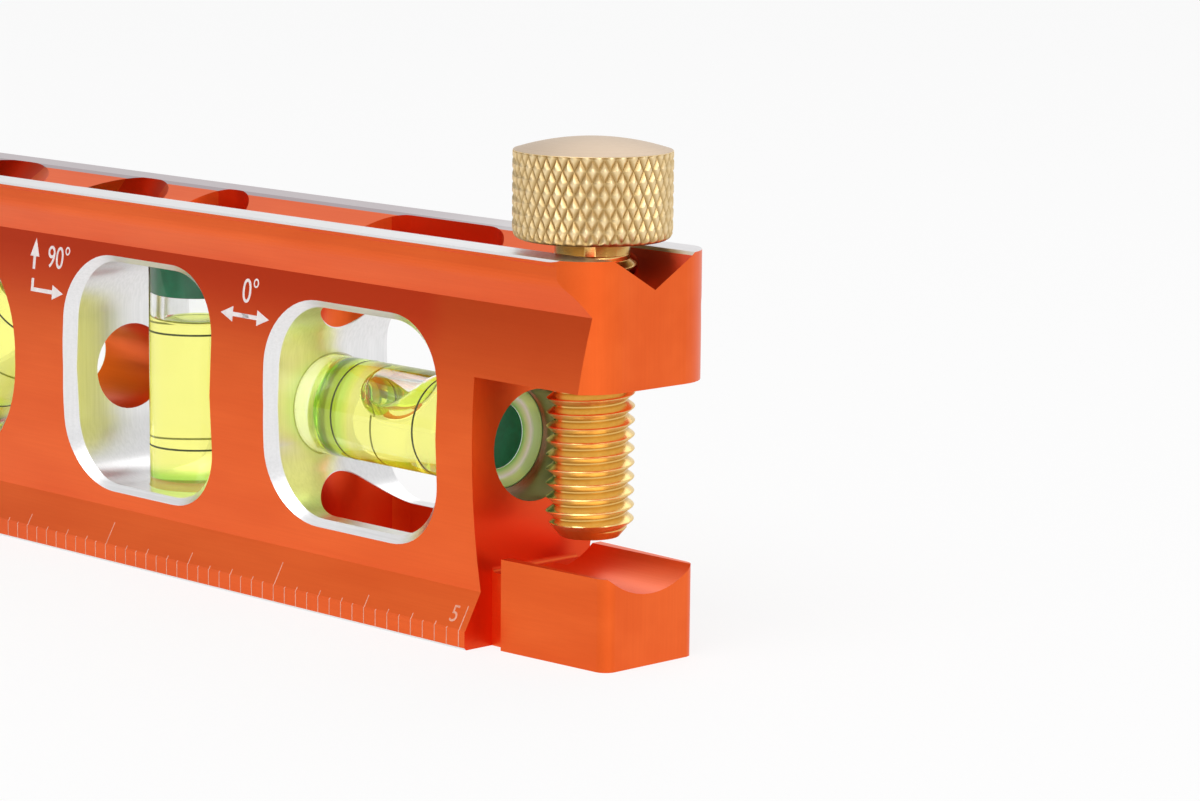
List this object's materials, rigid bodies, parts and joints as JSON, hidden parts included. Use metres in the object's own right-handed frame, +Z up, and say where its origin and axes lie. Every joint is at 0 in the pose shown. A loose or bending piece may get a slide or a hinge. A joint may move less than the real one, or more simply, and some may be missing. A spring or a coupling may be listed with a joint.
{
  "type": "pocket level",
  "caption": "Magnetic pocket level: machined bar with V groove, windows, slotted base, tube vials at set angles, ruler edge and a thumb-screw conduit clamp at one end.",
  "frame": {"origin": "middle of the flat base, on its underside", "axes": "+X along the level towards the clamp, +Y across it towards the face away from the camera, +Z up from the base"},
  "size_m": [0.1424, 0.0168, 0.0454],
  "materials": {
    "body_aluminium": "orange anodised, machined edges bare",
    "stud_brass": "turned",
    "knob_brass": "satin with a knurled rim",
    "vial_acrylic": "clear polished acrylic",
    "vial_fluid": "tinted spirit",
    "vial_plug": "moulded",
    "ring_black": "printed ring",
    "magnet_nickel": "nickel plated"
  },
  "bodies": {
    "level": {"level_body": "body_aluminium", "vial_0_barrel": "vial_acrylic", "vial_0_fluid": "vial_fluid", "vial_0_plug": "vial_plug", "vial_0_rings": "ring_black", "vial_90_barrel": "vial_acrylic", "vial_90_fluid": "vial_fluid", "vial_90_plug": "vial_plug", "vial_90_rings": "ring_black", "vial_45_barrel": "vial_acrylic", "vial_45_fluid": "vial_fluid", "vial_45_plug": "vial_plug", "vial_45_rings": "ring_black", "vial_30_barrel": "vial_acrylic", "vial_30_fluid": "vial_fluid", "vial_30_plug": "vial_plug", "vial_30_rings": "ring_black", "base_magnet_1": "magnet_nickel", "base_magnet_2": "magnet_nickel", "base_magnet_3": "magnet_nickel"},
    "stud": {"screw_stud": "stud_brass"},
    "knob": {"thumb_knob": "knob_brass"}
  },
  "joints": [
    {"name": "screw_advance", "type": "slide", "parent": "level", "child": "stud", "axis": [0, 0, 1], "range_m": [-0.00075, 0.01375]},
    {"name": "screw_turn", "type": "hinge", "parent": "stud", "child": "knob", "pos_m": [0.0635, 0, 0.0405], "axis": [0, 0, 1], "range_deg": [-216.1, 3960.1]}
  ],
  "couplings": [
    {"joint": "screw_turn", "follows": "screw_advance", "rad_per_m": 5026.5}
  ]
}
